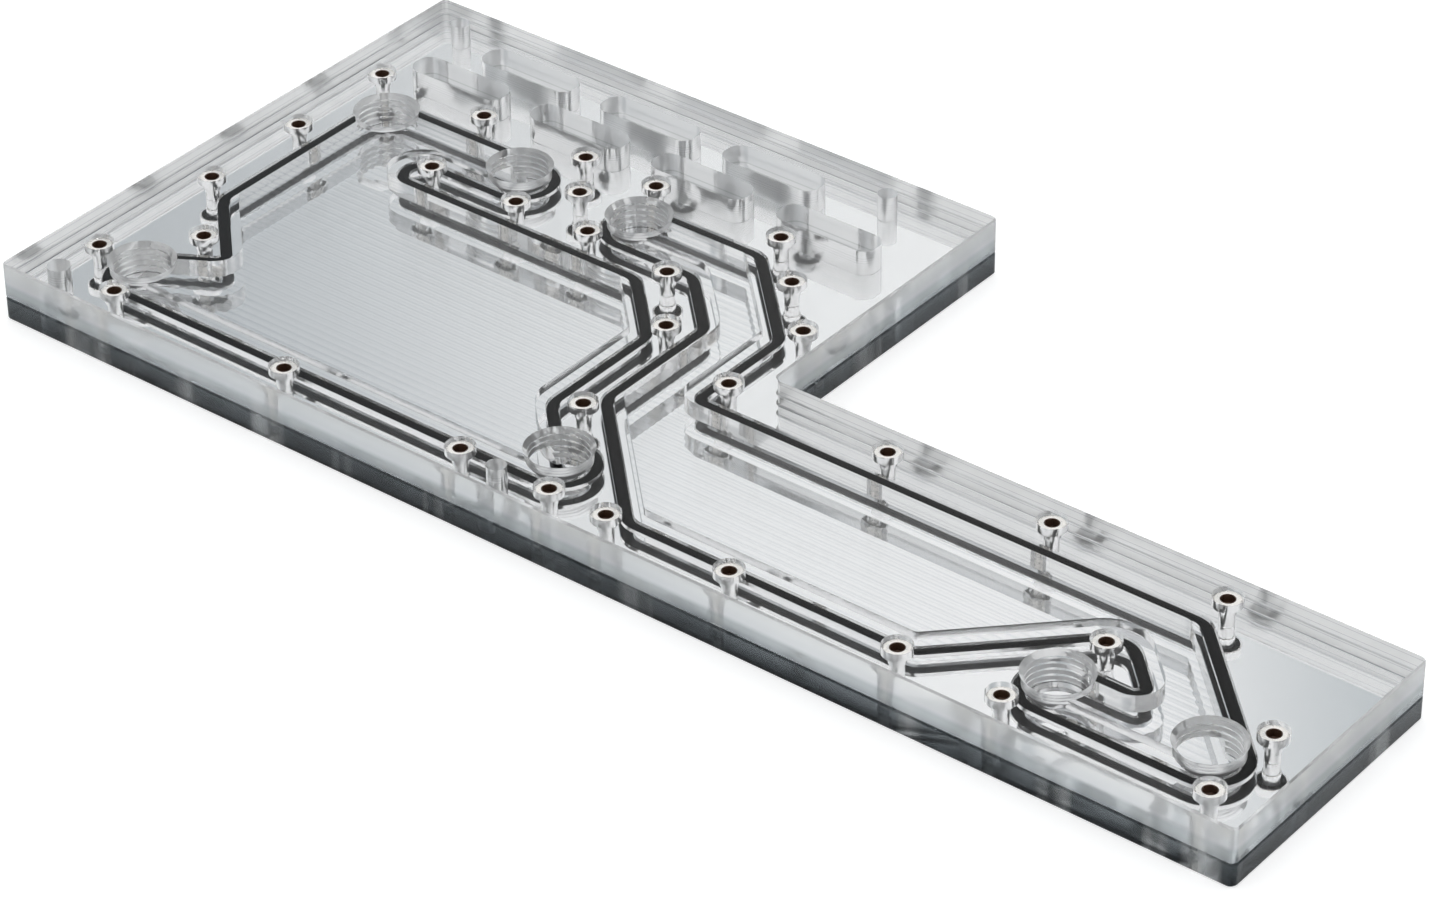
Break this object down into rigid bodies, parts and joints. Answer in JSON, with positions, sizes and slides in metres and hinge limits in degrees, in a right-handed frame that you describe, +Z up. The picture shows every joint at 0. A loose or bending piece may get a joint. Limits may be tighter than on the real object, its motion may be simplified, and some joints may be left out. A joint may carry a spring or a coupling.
{
  "type": "water cooling distribution plate",
  "caption": "Flat L-shaped clear distribution plate with threaded coolant ports, milled pools sealed by rubber cord, through slots and sunk socket head screws.",
  "frame": {"origin": "centre of the bounding box's underside, on the surface that the plate lies on", "axes": "+X along the long front edge, +Y from the front edge to the slotted back, +Z up out of the ports"},
  "size_m": [0.29, 0.133, 0.0128],
  "materials": {
    "clear_upper": "polished clear acrylic",
    "clear_lower": "polished clear acrylic",
    "seal_rubber": "smooth black rubber cord",
    "screw_steel": "satin stainless steel"
  },
  "bodies": {
    "root": {"upper_plate": "clear_upper", "lower_plate": "clear_lower", "left_o_ring": "seal_rubber", "right_o_ring": "seal_rubber", "screw_01": "screw_steel", "screw_02": "screw_steel", "screw_03": "screw_steel", "screw_04": "screw_steel", "screw_05": "screw_steel", "screw_06": "screw_steel", "screw_07": "screw_steel", "screw_08": "screw_steel", "screw_09": "screw_steel", "screw_10": "screw_steel", "screw_11": "screw_steel", "screw_12": "screw_steel", "screw_13": "screw_steel", "screw_14": "screw_steel", "screw_15": "screw_steel", "screw_16": "screw_steel", "screw_17": "screw_steel", "screw_18": "screw_steel", "screw_19": "screw_steel", "screw_20": "screw_steel", "screw_21": "screw_steel", "screw_22": "screw_steel", "screw_23": "screw_steel", "screw_24": "screw_steel", "screw_25": "screw_steel", "screw_26": "screw_steel", "screw_27": "screw_steel", "screw_28": "screw_steel", "screw_29": "screw_steel", "screw_30": "screw_steel", "screw_31": "screw_steel", "screw_32": "screw_steel", "screw_33": "screw_steel"}
  },
  "joints": []
}
